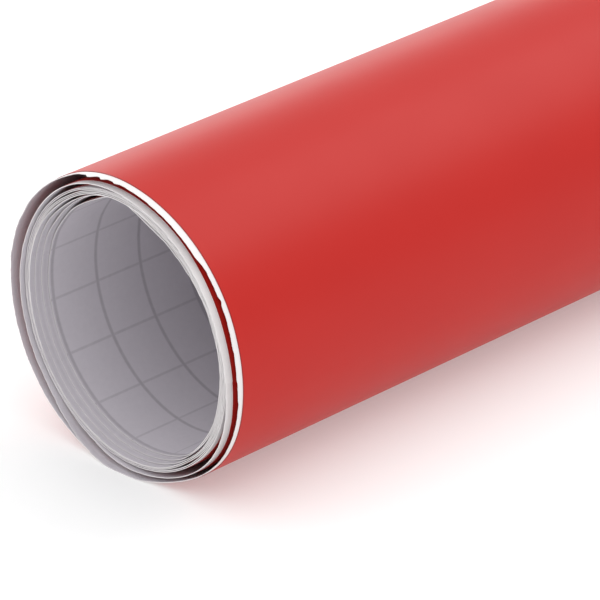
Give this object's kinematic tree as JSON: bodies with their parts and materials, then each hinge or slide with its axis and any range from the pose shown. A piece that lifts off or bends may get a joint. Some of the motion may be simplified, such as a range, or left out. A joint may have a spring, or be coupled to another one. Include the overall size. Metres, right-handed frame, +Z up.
{
  "type": "roll of sign vinyl",
  "caption": "Coreless roll of red self-adhesive sign vinyl on a printed paper liner, with telescoping turns, a free tail that uncurls and a film edge that peels.",
  "frame": {"origin": "on the floor under the middle of the roll, at the bottom centre of its box", "axes": "+X along the roll's axis, from the end seen first to the far end; +Y to the side where the free tail lies; +Z up"},
  "size_m": [0.305, 0.0558, 0.0553],
  "materials": {
    "film": "satin",
    "adhesive": "tacky",
    "liner": "smooth"
  },
  "bodies": {
    "outer_turn": {"film_outer_turn": "film", "adhesive_outer_turn": "adhesive", "liner_outer_turn": "liner"},
    "second_turn": {"film_second_turn": "film", "adhesive_second_turn": "adhesive", "liner_second_turn": "liner"},
    "inner_turns": {"film_inner_turns": "film", "adhesive_inner_turns": "adhesive", "liner_inner_turns": "liner"},
    "tail_1": {"film_tail_1": "film", "adhesive_tail_1": "adhesive", "liner_tail_1": "liner"},
    "tail_2": {"film_tail_2": "film", "adhesive_tail_2": "adhesive", "liner_tail_2": "liner"},
    "tail_3": {"film_tail_3": "film", "adhesive_tail_3": "adhesive", "liner_tail_3": "liner"},
    "tail_4": {"film_tail_4": "film", "adhesive_tail_4": "adhesive", "liner_tail_4": "liner"},
    "peel_strip": {"film_peel_strip": "film", "adhesive_peel_strip": "adhesive"}
  },
  "joints": [
    {"name": "second_turn_slide", "type": "slide", "parent": "outer_turn", "child": "second_turn", "axis": [1, 0, 0], "range_m": [-0.006, 0.006]},
    {"name": "inner_turns_slide", "type": "slide", "parent": "second_turn", "child": "inner_turns", "axis": [1, 0, 0], "range_m": [-0.012, 0.012]},
    {"name": "tail_lift", "type": "hinge", "parent": "outer_turn", "child": "tail_1", "pos_m": [0, 0.01855, 0.04816], "axis": [1, 0, 0], "range_deg": [0, 22], "stiffness_Nm_per_rad": 0.001, "springref_deg": -11.46},
    {"name": "tail_bend_2", "type": "hinge", "parent": "tail_1", "child": "tail_2", "pos_m": [0, 0.02583, 0.03788], "axis": [1, 0, 0], "range_deg": [-2, 25], "stiffness_Nm_per_rad": 0.001, "springref_deg": -11.46},
    {"name": "tail_bend_3", "type": "hinge", "parent": "tail_2", "child": "tail_3", "pos_m": [0, 0.02785, 0.02544], "axis": [1, 0, 0], "range_deg": [-2, 25], "stiffness_Nm_per_rad": 0.001, "springref_deg": -11.46},
    {"name": "tail_bend_4", "type": "hinge", "parent": "tail_3", "child": "tail_4", "pos_m": [0, 0.02423, 0.01338], "axis": [1, 0, 0], "range_deg": [-2, 25], "stiffness_Nm_per_rad": 0.001, "springref_deg": -11.46},
    {"name": "film_peel", "type": "hinge", "parent": "tail_4", "child": "peel_strip", "pos_m": [0, 0.01946, 0.00722], "axis": [1, 0, 0], "range_deg": [0, 150]}
  ],
  "couplings": [
    {"joint": "inner_turns_slide", "follows": "second_turn_slide", "ratio": 2},
    {"joint": "tail_bend_2", "follows": "tail_lift", "ratio": 1},
    {"joint": "tail_bend_3", "follows": "tail_lift", "ratio": 1},
    {"joint": "tail_bend_4", "follows": "tail_lift", "ratio": 1}
  ]
}
